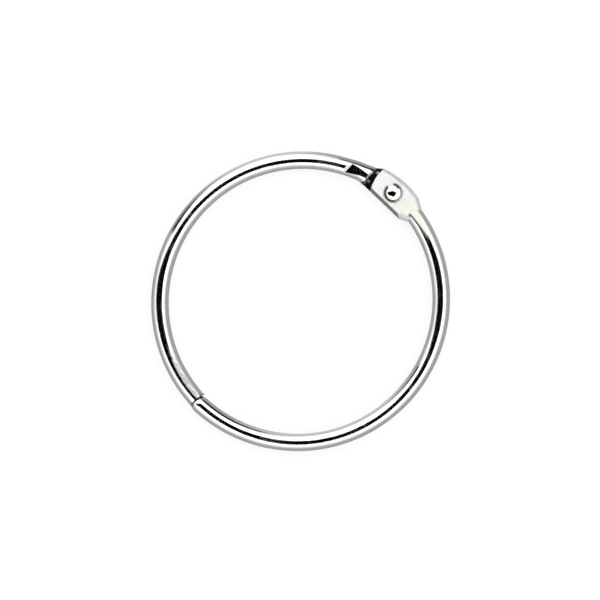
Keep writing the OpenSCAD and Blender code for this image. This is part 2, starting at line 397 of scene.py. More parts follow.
def nose(raw):
    """The lower half's tip: a rounded nose on a curved face, a pin, and a relief flat inside."""
    half_chord = math.hypot(NOSE_LEN, WIRE_R - NOSE_FACE_R) / 2
    share = math.sqrt(NOSE_ROUND**2 - half_chord**2) / (2 * half_chord)
    # where the rounding's arc has its centre: off the axis, and along it
    middle = (
        (WIRE_R + NOSE_FACE_R) / 2 - NOSE_LEN * share,
        -NOSE_LEN / 2 - (WIRE_R - NOSE_FACE_R) * share,
    )
    # the rounding goes on a little past the closure, where the face then cuts it
    start, tip_z = -NOSE_LEN - bow(NOSE_LEN), 0.25
    first = math.asin((start - middle[1]) / NOSE_ROUND)
    last = math.asin((tip_z - middle[1]) / NOSE_ROUND)
    rounding = arc(middle, NOSE_ROUND, first, last, 32)
    outline = [(0, -9), (CLEAR_OF, -9), (CLEAR_OF, start), *rounding, (0, tip_z)]
    keep = placed(
        turned_solid("rounding", outline, 128),
        JOINT_FRAME @ move(0, -bow(NOSE_LEN)) @ spun(90, "Y"),
    )
    face = machined(
        placed(round_bar("face", JOINT_R + NOSE_STANDS, -3, 3, 256), JOINT_FRAME @ move(-JOINT_R)),
        ("UNION", placed(block("behind", (-12, -4, -4), (-1.5, 4, 4)), JOINT_FRAME)),
    )
    fall = RELIEF_DEPTH + bow(RELIEF_LEN) * math.sin(math.radians(RELIEF_TILT))
    relief = placed(
        block("relief", (-RELIEF_LEN, -4, 0), (4, 4, 3)),
        JOINT_FRAME
        @ spun(RELIEF_TILT, "X")
        @ move(z=WIRE_R - RELIEF_DEPTH)
        @ spun(math.degrees(math.atan(fall / RELIEF_LEN)), "Y"),
    )
    pin = placed(round_bar("pin", PIN_R, -WIRE_R, PIN_LEN, 48), JOINT_FRAME @ spun(90, "Y"))
    return machined(
        raw,
        ("INTERSECT", keep),
        ("INTERSECT", face),
        ("DIFFERENCE", relief),
        ("UNION", pin),
    )


def cup(raw):
    """The upper half's tip, hollowed to take the nose and its pin."""
    room = placed(round_bar("room", JOINT_R + JOINT_GAP, -3, 3, 256), JOINT_FRAME @ move(-JOINT_R))
    socket = placed(
        round_bar("socket", PIN_R + PIN_CLEAR, -0.5, PIN_LEN + 2 * PIN_CLEAR, 48),
        JOINT_FRAME @ spun(90, "Y"),
    )
    return machined(raw, ("DIFFERENCE", room), ("DIFFERENCE", socket))


def joined(name, parts, seams):
    """One closed piece from its parts: the caps between them go and their rims are merged."""
    shape = bmesh.new()
    for part in parts:
        shape.from_mesh(part.data)
        scrap(part)

    def is_cap(face, point, along):
        reaches = [corner.co - point for corner in face.verts]
        level = all(abs(reach.dot(along)) < FLUSH and reach.length < CLEAR_OF for reach in reaches)
        return level and abs(face.normal.dot(along)) > ALIKE

    caps = [face for face in shape.faces if any(is_cap(face, *one) for one in seams)]
    bmesh.ops.delete(shape, geom=caps, context="FACES_ONLY")
    bmesh.ops.remove_doubles(shape, verts=shape.verts, dist=FLUSH)
    return work_object(name, shape)


def seam(centre, arc_r, turn, place):
    point = centre + turned(turn, arc_r)
    along = turned(turn + 90)
    return place @ point, (place.to_3x3() @ along).normalized()


def making_frame(lower):
    """Where a half is made, leaf side up: the frame, and its arc's centre and radius in it."""
    centre = in_hinge(LOWER_CENTRE if lower else UPPER_CENTRE)
    if lower:
        return HINGE_FRAME, centre, LOWER_R
    centre.x = -centre.x
    return HINGE_FRAME @ TURN_OVER, centre, UPPER_R


def half(name, lower):
    place, centre, arc_r = making_frame(lower)
    tip = in_hinge(JOINT_AT)
    if not lower:
        tip.x = -tip.x
    slant = LEAF_IN_SLANT if lower else -LEAF_IN_SLANT
    end, plain, raw, join, tip_join = half_parts(centre, arc_r, tip, slant, not lower)
    for part in (end, plain, raw):
        placed(part, place)
    raw = nose(raw) if lower else cup(raw)
    seams = [seam(centre, arc_r, join, place), seam(centre, arc_r, tip_join, place)]
    return placed(joined(name, (end, plain, raw), seams), METRES)


def hinge_rivet():
    """Shank, domed front head and low back head with a rounded rim, in one turned piece."""
    # the crown's arc goes over into a tighter one toward the rim, with a common tangent
    turn = math.asin(DOME_EDGE / CROWN_R)
    fall = CROWN_R * (1 - math.cos(turn))
    rise, run = DOME_H - fall, HEAD_R - DOME_EDGE
    shoulder_r = (run**2 + rise**2) / (2 * (rise * math.cos(turn) - run * math.sin(turn)))
    last = math.asin(run / shoulder_r + math.sin(turn))
    up = math.pi / 2
    middle = (DOME_EDGE - shoulder_r * math.sin(turn), LEAF_FACE + rise - shoulder_r * math.cos(turn))
    dome = arc(middle, shoulder_r, up - last, up - turn, 16)
    dome += arc((0, LEAF_FACE + DOME_H - CROWN_R), CROWN_R, up - turn, up, 24)[1:]
    low_face = LOW_HEAD_Z - LOW_HEAD_H
    low_rim = arc((HEAD_R - LOW_RIM_R, low_face + LOW_RIM_R), LOW_RIM_R, -up, 0, 6)
    outline = [
        (0, low_face),
        *low_rim,
        (HEAD_R, LOW_HEAD_Z),
        (SHANK_R, LOW_HEAD_Z),
        (SHANK_R, LEAF_FACE),
        (HEAD_R, LEAF_FACE),
        *dome[1:],
    ]
    return placed(turned_solid("rivet", outline, 128), METRES @ HINGE_FRAME)


# ---------------------------------------------------------------- finishes


def node(tree, kind, **settings):
    made = tree.nodes.new(kind)
    for key, value in settings.items():
        setattr(made, key, value)
    return made


def feed(tree, socket, value):
    """A socket gets a link from another socket, or a plain value."""
    if isinstance(value, bpy.types.NodeSocket):
        tree.links.new(value, socket)
    else:
        socket.default_value = value


def calc(tree, operation, *values):
    made = node(tree, "ShaderNodeMath", operation=operation)
    for socket, value in zip(made.inputs, values):
        feed(tree, socket, value)
    return made.outputs[0]


def times(tree, *values):
    """The product of sockets and numbers."""
    product = values[0]
    for value in values[1:]:
        product = calc(tree, "MULTIPLY", product, value)
    return product


def vector(tree, operation, *values):
    made = node(tree, "ShaderNodeVectorMath", operation=operation)
    for socket, value in zip(made.inputs, values):
        feed(tree, socket, value)
    return made.outputs["Value" if operation in ("DOT_PRODUCT", "LENGTH", "DISTANCE") else "Vector"]


def ramped(tree, value, low, high, start=0.0, end=1.0, kind="SMOOTHSTEP"):
    """A value that goes from start to end while another goes from low to high."""
    made = node(tree, "ShaderNodeMapRange", interpolation_type=kind)
    for socket, part in zip(made.inputs, (value, low, high, start, end)):
        feed(tree, socket, part)
    return made.outputs[0]


def mixed(tree, factor, first, second):
    """A colour between two, each a socket or its red, green and blue."""
    made = node(tree, "ShaderNodeMix", data_type="RGBA")
    feed(tree, made.inputs[0], factor)
    for socket, colour in ((made.inputs[6], first), (made.inputs[7], second)):
        feed(tree, socket, (*colour, 1) if isinstance(colour, tuple) else colour)
    return made.outputs[2]


def toned(tree, colour, mask, share, tone):
    """A colour with a share of another tone over it, where the mask says."""
    return mixed(tree, times(tree, mask, share), colour, tone)


def noise(tree, place, waves, detail=2.0, roughness=0.5):
    """Noise with so many waves to the millimetre, the same every way or its own along each direction."""
    made = node(tree, "ShaderNodeTexNoise")
    scales = waves if isinstance(waves, tuple) else (waves, waves, waves)
    feed(tree, made.inputs["Vector"], vector(tree, "MULTIPLY", place, scales))
    for label, value in (("Scale", 1.0), ("Detail", detail), ("Roughness", roughness)):
        made.inputs[label].default_value = value
    return made.outputs[0]


def ragged(tree, place, by):
    """A place shifted a little this way and that, which frays what is drawn with it."""
    swirl = node(tree, "ShaderNodeTexNoise")
    feed(tree, swirl.inputs["Vector"], place)
    swirl.inputs["Scale"].default_value = 3.2
    shift = vector(tree, "SUBTRACT", swirl.outputs[1], (0.5, 0.5, 0.5))
    return vector(tree, "ADD", place, vector(tree, "MULTIPLY", shift, (by, by, by)))


def flattened(tree, place):
    """A place without its Z."""
    return vector(tree, "MULTIPLY", place, (1, 1, 0))


def flat_reach(tree, place):
    """How far a place is from the Z axis."""
    return vector(tree, "LENGTH", flattened(tree, place))


def near_any(tree, place, spots, edge, full):
    """How near a place is to any of some spots: nothing at the edge's distance, all at the full one."""
    away = [vector(tree, "DISTANCE", place, spot) for spot in spots]
    return calc(tree, "MAXIMUM", *(ramped(tree, one, edge, full) for one in away))


def split(tree, place):
    """The X, Y and Z of a place."""
    made = node(tree, "ShaderNodeSeparateXYZ")
    feed(tree, made.inputs[0], place)
    return made.outputs


def place_at(tree, *parts):
    """A place from its X and Y, and its Z if it has one."""
    made = node(tree, "ShaderNodeCombineXYZ")
    for socket, value in zip(made.inputs, parts):
        feed(tree, socket, value)
    return made.outputs[0]


def unrolled(tree, place):
    """A place round the ring's middle, as reach from it, length along the wire, and height."""
    parts = split(tree, place)
    along = times(tree, calc(tree, "ARCTAN2", parts["Y"], parts["X"]), RING_R)
    return place_at(tree, flat_reach(tree, place), along, parts["Z"])


def coordinates(tree, working_frame):
    """Object coordinates, in millimetres of a working frame."""
    back = working_frame.inverted()
    made = node(tree, "ShaderNodeMapping")
    made.inputs["Location"].default_value = back.translation
    made.inputs["Rotation"].default_value = back.to_euler("XYZ")
    made.inputs["Scale"].default_value = (1000, 1000, 1000)
    feed(tree, made.inputs["Vector"], node(tree, "ShaderNodeTexCoord").outputs["Object"])
    return made.outputs[0]


COLUMN, ROW = 240, 260  # between one node and the next


def laid_out(tree):
    """Nodes in columns, from what they feed back to what feeds them."""
    column = {}

    def settle(one, depth):
        if column.get(one, -1) < depth:
            column[one] = depth
            for link in tree.links:
                if link.to_node == one:
                    settle(link.from_node, depth + 1)

    for one in tree.nodes:
        if not any(link.from_node == one for link in tree.links):
            settle(one, 0)
    rows = {}
    for one, depth in column.items():
        rows[depth] = rows.get(depth, 0) + 1
        one.location = (-COLUMN * depth, -ROW * rows[depth])


# ---- effects that more than one finish uses


def effect(name, values, *outputs):
    """A node group for a place and some values: the group, what comes in, and what goes out."""
    group = bpy.data.node_groups.new(name, "ShaderNodeTree")

    def socket(label, way):
        kind = "NodeSocketVector" if label in ("Place", "Normal") else "NodeSocketFloat"
        return group.interface.new_socket(name=label, in_out=way, socket_type=kind)

    socket("Place", "INPUT")
    for label, value in values.items():
        socket(label, "INPUT").default_value = value
    for label in outputs:
        socket(label, "OUTPUT")
    return group, node(group, "NodeGroupInput").outputs, node(group, "NodeGroupOutput").inputs


def applied(tree, group, place, **values):
    """What a group puts out at a place."""
    made = node(tree, "ShaderNodeGroup", node_tree=group)
    for label, value in {"Place": place, **values}.items():
        feed(tree, made.inputs[label], value)
    return made.outputs


def drawing_lines():
    """What the drawing die leaves on the wire: fine lines along it, and a slow waviness."""
    group, given, made = effect("drawing_lines", {}, "Lines", "Waves")
    along = unrolled(group, given["Place"])
    lines = noise(group, along, (6.5, 0.11, 6.5), 3.0, 0.6)
    feed(group, made["Lines"], ramped(group, lines, 0.25, 0.75))
    feed(group, made["Waves"], noise(group, along, (0.55, 0.3, 0.55), 1.5))
    return group


# layers of scratches: which way they lie, their waves to the millimetre, and where they begin to show
SCRATCHES = ((25, (0.35, 8, 8), 0.67), (-48, (0.3, 7, 7), 0.69), (80, (0.4, 9, 9), 0.69))


def handling_marks():
    """Fine scratches that cross one another, and the smudges of fingers."""
    group, given, made = effect("handling_marks", {"Amount": 1.0}, "Scratches", "Smudges")
    layers = []
    for turn, scales, low in SCRATCHES:
        way = node(group, "ShaderNodeMapping")
        way.inputs["Rotation"].default_value = (math.radians(18), 0, math.radians(turn))
        feed(group, way.inputs["Vector"], given["Place"])
        layers.append(ramped(group, noise(group, way.outputs[0], scales, 1.0), low, low + 0.05))
    most = layers[0]
    for layer in layers[1:]:
        most = calc(group, "MAXIMUM", most, layer)
    feed(group, made["Scratches"], times(group, most, given["Amount"]))
    smudge = ramped(group, noise(group, given["Place"], 0.32, 4.0, 0.6), 0.46, 0.7)
    feed(group, made["Smudges"], times(group, smudge, given["Amount"]))
    return group


def edge_wear():
    """Edges that are softly broken, and rubbed bright with some breaks."""
    values = {"Radius": 0.0001, "Start": 0.003, "Full": 0.05}
    group, given, made = effect("edge_wear", values, "Wear", "Normal")
    rounded = node(group, "ShaderNodeBevel", samples=4)
    feed(group, rounded.inputs["Radius"], given["Radius"])
    even = node(group, "ShaderNodeNewGeometry").outputs["Normal"]
    turned_by = calc(group, "SUBTRACT", 1.0, vector(group, "DOT_PRODUCT", rounded.outputs[0], even))
    breaks = ramped(group, noise(group, given["Place"], 1.6, 3.0), 0.3, 0.6, 0.25, 1.0)
    worn = ramped(group, turned_by, given["Start"], given["Full"])
    feed(group, made["Wear"], times(group, worn, breaks))
    feed(group, made["Normal"], rounded.outputs[0])
    return group


def specks():
    """Scattered grains: pits, dirt, or plating that is chipped off."""
    group, given, made = effect("specks", {"Grain": 0.3, "Share": 0.2}, "Specks")
    cells = node(group, "ShaderNodeTexVoronoi")
    feed(group, cells.inputs["Vector"], ragged(group, given["Place"], 0.45))
    feed(group, cells.inputs["Scale"], calc(group, "DIVIDE", 1.0, given["Grain"]))
    lot = node(group, "ShaderNodeSeparateColor")
    feed(group, lot.inputs[0], cells.outputs["Color"])
    chosen = calc(group, "LESS_THAN", lot.outputs[0], given["Share"])
    uneven = calc(group, "MULTIPLY_ADD", lot.outputs[1], 0.25, 0.16)
    grain = ramped(group, calc(group, "DIVIDE", cells.outputs["Distance"], uneven), 1.3, 0.6)
    feed(group, made["Specks"], times(group, grain, chosen))
    return group


def seam_dirt():
    """The dark line of oil and dirt that gathers along the closed joint."""
    group, given, made = effect("seam_dirt", {"Width": 0.1}, "Dirt")
    from_axis = flat_reach(group, vector(group, "ADD", given["Place"], (JOINT_R, 0, 0)))
    away = calc(group, "ABSOLUTE", calc(group, "SUBTRACT", from_axis, JOINT_R + JOINT_GAP / 2))
    clotted = ramped(group, noise(group, given["Place"], 1.1), 0.3, 0.7, 0.6, 1.3)
    uneven = times(group, given["Width"], clotted)
    near = ramped(group, calc(group, "DIVIDE", away, uneven), 1.5, 0.7)
    # only near the joint, not where the same cylinder meets the far side of the wire's other half
    place = split(group, given["Place"])
    close = calc(group, "LESS_THAN", calc(group, "ABSOLUTE", place["X"]), 0.6)
    feed(group, made["Dirt"], times(group, near, close))
    return group


def rubbed_tip():
    """Streaks on one side of a half's tip, where it has snapped shut against the other many times."""
    group, given, made = effect("rubbed_tip", {"Aside": 0.0}, "Rubbed")
    parts = split(group, given["Place"])
    streaks = noise(group, given["Place"], (0.4, 3.6, 1.2), 3.0, 0.65)
    edge = calc(group, "MULTIPLY_ADD", streaks, 0.5, given["Aside"])
    across = times(group, ramped(group, edge, -0.7, -0.5), ramped(group, edge, 0.27, 0.11))
    along = times(group, ramped(group, parts["X"], 0.1, 0.4), ramped(group, parts["X"], 12.0, 6.0))
    on_top = ramped(group, parts["Z"], 0.5, 0.9)
    place = times(group, along, on_top, calc(group, "GREATER_THAN", parts["Y"], -8.0))
    worn = times(group, across, ramped(group, streaks, 0.36, 0.56, 0.3, 1.0))
    feed(group, made["Rubbed"], times(group, worn, place))
    return group


def shoulder_dirt():
    """Painted shade on the wire by the shoulder, mottled, by the half's making frame."""
    group, given, made = effect("shoulder_dirt", {}, "Dirt")
    parts = split(group, given["Place"])
    mottle = noise(group, given["Place"], 2.4, 3.0, 0.65)
    back = calc(group, "MULTIPLY_ADD", mottle, 0.5, parts["X"])
    near = ramped(group, back, SHOULDER_LIP + 0.75, SHOULDER_LIP + 0.5)
    near = times(group, near, calc(group, "GREATER_THAN", parts["X"], SHOULDER_LIP - 0.4))
    # below the mating plane, and not where the ring comes round again
    here = calc(group, "GREATER_THAN", parts["Y"], -5.0)
    under = times(group, ramped(group, parts["Z"], 0.1, -0.15), here)
    broken = ramped(group, mottle, 0.62, 0.42, 0.25, 1.0)
    less_outside = ramped(group, parts["Y"], -1.2, 1.6, 1.0, 0.6)
    feed(group, made["Dirt"], times(group, near, under, broken, less_outside))
    return group


DRAWING_LINES = drawing_lines()
HANDLING = handling_marks()
EDGE_WEAR = edge_wear()
SPECKS = specks()
SEAM_DIRT = seam_dirt()
RUBBED_TIP = rubbed_tip()
SHOULDER_SHADE = shoulder_dirt()


# ---- the finishes themselves


def metal(name, working_frame):
    """A new finish: the material, its nodes, and places in millimetres of a working frame."""
    made = bpy.data.materials.new(name)
    made.use_nodes = True
    return made, made.node_tree, coordinates(made.node_tree, working_frame)


def finished(made, colour, rough, normal, share=1.0):
    """A finish with its colour, roughness, normal and share of bare metal."""
    shader = made.node_tree.nodes["Principled BSDF"].inputs
    parts = {"Base Color": colour, "Roughness": rough, "Normal": normal, "Metallic": share}
    for label, value in parts.items():
        feed(made.node_tree, shader[label], value)
    return made


def bumped(tree, normal, *layers):
    """A normal with heights on it, each with its depth in metres."""
    for height, depth in layers:
        bump = node(tree, "ShaderNodeBump")
        feed(tree, bump.inputs["Height"], height)
        bump.inputs["Distance"].default_value = depth
        feed(tree, bump.inputs["Normal"], normal)
        normal = bump.outputs[0]
    return normal


def roughened(tree, rough, *marks):
    """A roughness with more or less of it where marks are."""
    for mark, more in marks:
        rough = calc(tree, "MULTIPLY_ADD", mark, more, rough)
    return rough


def bright_nickel(name, centre, turn, made_in):
    """Nickel plate on drawn wire, bright, with what drawing and handling leave on it."""
    made, tree, place = metal(name, move(*centre) @ spun(turn, "Z"))
    lines = applied(tree, DRAWING_LINES, place)
    marks = applied(tree, HANDLING, place)
    edges = applied(tree, EDGE_WEAR, place, Radius=0.00009)
    by_joint = coordinates(tree, JOINT_FRAME)
    dirt = applied(tree, SEAM_DIRT, by_joint, Width=0.17)
    tint = ramped(tree, noise(tree, place, 0.09, 2.0), 0.35, 0.65)
    colour = mixed(tree, tint, (0.925, 0.945, 0.955), (0.955, 0.94, 0.915))
    colour = toned(tree, colour, marks["Smudges"], 0.35, (0.84, 0.845, 0.84))
    colour = toned(tree, colour, lines["Lines"], 0.25, (0.86, 0.87, 0.87))
    colour = toned(tree, colour, edges["Wear"], 0.5, (0.97, 0.965, 0.95))
    # painted shade, nearly black, on the wire beside the shoulder's lip
    shoulder_shade = applied(tree, SHOULDER_SHADE, coordinates(tree, made_in))
    colour = mixed(tree, shoulder_shade["Dirt"], colour, (0.07, 0.068, 0.06))
    aside = calc(tree, "SUBTRACT", flat_reach(tree, place), UPPER_R)
    rub = applied(tree, RUBBED_TIP, by_joint, Aside=aside)
    dashes = ramped(tree, noise(tree, by_joint, (0.9, 6.0, 3.0), 3.0, 0.65), 0.4, 0.6)
    bare = mixed(tree, dashes, (0.42, 0.42, 0.4), (0.74, 0.74, 0.72))
    colour = mixed(tree, rub["Rubbed"], colour, bare)
    colour = mixed(tree, dirt["Dirt"], colour, (0.05, 0.046, 0.04))
    share = calc(tree, "MULTIPLY_ADD", rub["Rubbed"], -0.75, 1.0)
    rough = roughened(
        tree, 0.1, (marks["Smudges"], 0.07), (rub["Rubbed"], 0.5), (marks["Scratches"], 0.05),
        (lines["Lines"], 0.03), (dirt["Dirt"], 0.3),
    )
    normal = bumped(
        tree,
        edges["Normal"],
        (lines["Waves"], 1.8e-5),
        (lines["Lines"], 1.2e-6),
        (marks["Scratches"], -5e-7),
    )
    return finished(made, colour, rough, normal, share)


def painted_ring_shade(tree, place):
    """How dark the rivet's ring of painted shade is round it: none on one side, and paler on another."""
    way = vector(tree, "NORMALIZE", flattened(tree, place))
    except_one_side = ramped(tree, vector(tree, "DOT_PRODUCT", way, (-0.872, 0.489, 0)), 0.9, 0.97, 1.0, 0.0)
    blot = calc(tree, "MULTIPLY_ADD", noise(tree, place, 0.9, 3.0, 0.6), 0.9, -0.45)
    paler = calc(tree, "ADD", vector(tree, "DOT_PRODUCT", way, (0.859, 0.511, 0)), blot)
    return times(tree, except_one_side, ramped(tree, paler, 0.0, 0.9, 1.0, 0.45))


def coined_satin():
    """The die's flats: fine-grained and pale, creamy toward the wire, rubbed along their edges."""
    made, tree, place = metal("coined_satin", HINGE_FRAME)
    marks = applied(tree, HANDLING, place, Amount=0.8)
    edges = applied(tree, EDGE_WEAR, place, Radius=0.00022)
    dirt = applied(tree, SPECKS, place, Grain=0.42, Share=0.45)
    rim = applied(tree, EDGE_WEAR, place, Radius=0.00045, Start=0.001, Full=0.02)
    grain = noise(tree, place, 5.5, 3.0, 0.6)
    parts = split(tree, place)
    cloud = noise(tree, place, 0.5, 2.0)
    toward_wire = times(tree, parts["X"], calc(tree, "SIGN", parts["Z"]))
    cream = ramped(tree, calc(tree, "MULTIPLY_ADD", cloud, 5.0, toward_wire), 2.0, 7.5)
    colour = mixed(tree, cream, (0.975, 0.98, 0.965), (0.965, 0.975, 0.885))
    colour = toned(tree, colour, ramped(tree, grain, 0.35, 0.75), 0.12, (0.84, 0.85, 0.79))
    colour = toned(tree, colour, dirt["Specks"], 0.5, (0.4, 0.41, 0.36))
    # painted shade: a dark rim round the rivet's head
    by_head = ramped(tree, flat_reach(tree, place), 2.03, 1.88, 0.0, 0.7)
    colour = toned(tree, colour, by_head, painted_ring_shade(tree, place), (0.3, 0.3, 0.28))
    colour = toned(tree, colour, edges["Wear"], 0.6, (0.975, 0.975, 0.96))
    # painted shade lies along the inner side, from the leaf's slope to where the flat runs out on the
    # round wire
    across = calc(tree, "ABSOLUTE", parts["X"])
    from_centre = place_at(
        tree, calc(tree, "ADD", across, ARC_SHIFT), calc(tree, "ADD", parts["Y"], RING_R - RIVET_INSET)
    )
    from_line = calc(tree, "SUBTRACT", flat_reach(tree, from_centre), RING_R)
    flat_half = calc(tree, "SQRT", calc(tree, "SUBTRACT", WIRE_R**2, times(tree, parts["Z"], parts["Z"])))
    past_wire = calc(tree, "ADD", from_line, flat_half)
    line = times(
        tree,
        ramped(tree, past_wire, 0.5, 0.32),
        ramped(tree, past_wire, -0.25, -0.05),
        ramped(tree, across, 4.75, 5.3),
    )
    slope = times(
        tree, rim["Wear"], ramped(tree, from_line, -0.1, -0.35), ramped(tree, across, 2.9, 3.8, 0.0, 0.4)
    )
    crease_shade = calc(tree, "MAXIMUM", line, slope)
    colour = toned(tree, colour, crease_shade, 0.85, (0.05, 0.05, 0.045))
    rough = roughened(tree, 0.62, (cloud, 0.12), (marks["Scratches"], -0.12), (edges["Wear"], -0.25))
    normal = bumped(tree, edges["Normal"], (grain, 5e-6), (dirt["Specks"], -4e-6))
    return finished(made, colour, rough, normal, 0.6)


def sheared_edge(name, colour, worn, rough, share):
    """An edge of the leaf: streaked across by the die, with its own brightness; the inner edge's darker
    colour is painted shade.
    """
    made, tree, place = metal(name, HINGE_FRAME)
    edges = applied(tree, EDGE_WEAR, place, Radius=0.00016)
    marks = applied(tree, HANDLING, place)
    streaks = noise(tree, place, (2.6, 2.6, 0.35), 3.0, 0.6)

    def darker(by):
        return tuple(by * part for part in colour)

    shade = toned(tree, colour, ramped(tree, streaks, 0.3, 0.7), 0.5, darker(0.7))
    shade = toned(tree, shade, marks["Smudges"], 0.3, darker(0.8))
    shade = toned(tree, shade, edges["Wear"], 0.6, worn)
    rough = roughened(tree, rough - 0.08, (streaks, 0.16))
    return finished(made, shade, rough, bumped(tree, edges["Normal"], (streaks, 6e-6)), share)


# spots of plain metal left in the painted shade of the upper lap face, where glints show
UNSHADED_SPOTS = ((-4.85, 1.07, -HALF_GAP), (-5.04, -1.36, -HALF_GAP))


def oiled_recess():
    """Lap faces and shoulder: nearly black as painted shade, with a few grains of plain metal that catch
    the light.
    """
    made, tree, place = metal("oiled_recess", HINGE_FRAME)
    bare = applied(tree, SPECKS, place, Grain=0.5, Share=0.14)
    film = noise(tree, place, 1.4, 4.0, 0.65)
    parts = split(tree, place)
    # the shoulder's corner is mottled where it runs up to the wire
    corner = ramped(tree, calc(tree, "ABSOLUTE", parts["X"]), SHOULDER_LIP - 0.3, SHOULDER_LIP - 0.1)
    mottle = ramped(tree, noise(tree, place, 2.6, 3.0, 0.6), 0.5, 0.66)
    # painted shade: lap faces and shoulder nearly black
    colour = mixed(tree, ramped(tree, film, 0.4, 0.75), (0.01, 0.009, 0.008), (0.055, 0.053, 0.048))
    colour = toned(tree, colour, corner, mottle, (0.7, 0.7, 0.67))
    unshaded_spots = near_any(tree, ragged(tree, place, 0.5), UNSHADED_SPOTS, 0.31, 0.18)
    left_plain = calc(tree, "MAXIMUM", bare["Specks"], unshaded_spots)
    colour = mixed(tree, left_plain, colour, (0.9, 0.9, 0.87))
    normal = bumped(tree, (0, 0, 0), (film, 1e-5), (bare["Specks"], 1.5e-5))
    return finished(made, colour, ramped(tree, film, 0.3, 0.7, 0.22, 0.5), normal)


def shoulder_lip():
    """The slanted lip of the shoulder, painted shade that is mottled, lighter toward the outside of the
    ring.
    """
    made, tree, place = metal("shoulder_lip", HINGE_FRAME)
    edges = applied(tree, EDGE_WEAR, place, Radius=0.00008)
    bare = applied(tree, SPECKS, place, Grain=0.5, Share=0.4)
    mottle = noise(tree, place, 2.2, 3.0, 0.6)
    parts = split(tree, place)
    paleness = calc(tree, "MULTIPLY_ADD", parts["Y"], 0.06, mottle)
    # painted shade: dark to pale by the mottle, lighter toward the outside of the ring
    colour = mixed(tree, ramped(tree, paleness, 0.36, 0.56), (0.12, 0.115, 0.1), (0.85, 0.85, 0.82))
    colour = toned(tree, colour, bare["Specks"], 0.7, (0.85, 0.85, 0.82))
    colour = toned(tree, colour, edges["Wear"], 0.35, (0.8, 0.8, 0.78))
    rough = ramped(tree, mottle, 0.3, 0.7, 0.25, 0.5)
    return finished(made, colour, rough, bumped(tree, edges["Normal"], (mottle, 1e-5)))


def joint_face():
    """Nose, cup and pin where they meet: dark with oil and dirt and with the painted shade of the narrow
    gap, rubbed bare in spots.
    """
    made, tree, place = metal("joint_face", JOINT_FRAME)
    rubbed = applied(tree, SPECKS, place, Grain=0.5, Share=0.3)
    film = noise(tree, place, 1.8, 4.0, 0.6)
    # partly oil and dirt, partly painted shade of the narrow gap between nose and cup
    colour = mixed(tree, ramped(tree, film, 0.35, 0.75), (0.035, 0.033, 0.03), (0.2, 0.19, 0.17))
    colour = toned(tree, colour, rubbed["Specks"], 0.8, (0.6, 0.6, 0.58))
    rough = ramped(tree, film, 0.3, 0.7, 0.25, 0.5)
    return finished(made, colour, rough, bumped(tree, (0, 0, 0), (film, 8e-6)))


# dark blots that join the rivet's ring of painted shade
DARK_BLOTS = ((-1.535, -0.127, 0), (-0.101, 1.527, 0))


def rivet_nickel():
    """The rivet: a crown rubbed bright, and a rim painted dark as shade."""
    made, tree, place = metal("rivet_nickel", HINGE_FRAME)
    marks = applied(tree, HANDLING, place)
    edges = applied(tree, EDGE_WEAR, place, Radius=0.00008)
    pits = applied(tree, SPECKS, place, Grain=0.3, Share=0.2)
    reach = flat_reach(tree, place)
    blot = noise(tree, place, 0.9, 3.0, 0.6)
    colour = mixed(tree, ramped(tree, blot, 0.3, 0.7), (0.94, 0.945, 0.95), (0.95, 0.935, 0.9))
    colour = toned(tree, colour, marks["Smudges"], 0.3, (0.84, 0.84, 0.83))
    # the ring of painted shade: it starts under the crown, is darkest at its middle and paler at the rim
    inside = ramped(tree, reach, 1.26, 1.48)
    outside = ramped(tree, reach, 1.88, 1.7, 0.5, 1.0)
    depth = times(tree, inside, outside, painted_ring_shade(tree, place))
    blotted = near_any(tree, flattened(tree, place), DARK_BLOTS, 0.3, 0.16)
    depth = calc(tree, "MAXIMUM", depth, blotted)
    colour = mixed(tree, depth, colour, (0.1, 0.1, 0.09))
    colour = toned(tree, colour, pits["Specks"], 0.2, (0.4, 0.4, 0.38))
    colour = toned(tree, colour, edges["Wear"], 0.2, (0.8, 0.8, 0.78))
    rough = roughened(tree, 0.1, (marks["Smudges"], 0.05), (depth, 0.28))
    normal = bumped(tree, edges["Normal"], (blot, 8e-6), (marks["Scratches"], -6e-7))
    return finished(made, colour, rough, normal)


FINISHES = ("wire", "satin", "recess", "lip", "inner_edge", "outer_edge", "joint")


HAIR = 0.01  # how far a face's middle may lie off the region that it belongs to
CLOSURE_REACH, CLOSURE_R = 1.5, 2  # faces this near to the closure, along the ring and across, are its own
HINGE_REACH, HINGE_HALF_WIDTH = 11.2, 5  # past these, along the ring and across, a half is plain wire
COINED_LEVEL = 0.9992  # how level a face is that the die pressed flat


def meets_other(at_joint, lower):
    """Whether a face near the closure belongs to the surfaces that meet: faces, pin and bore."""
    face_r = JOINT_R + (NOSE_STANDS if lower else JOINT_GAP)
    pin_r = PIN_R + (0 if lower else PIN_CLEAR)
    on_face = abs(math.hypot(at_joint.x + JOINT_R, at_joint.y) - face_r) < 0.015
    return on_face or (at_joint.x > -0.1 and math.hypot(at_joint.y, at_joint.z) < pin_r + 0.02)


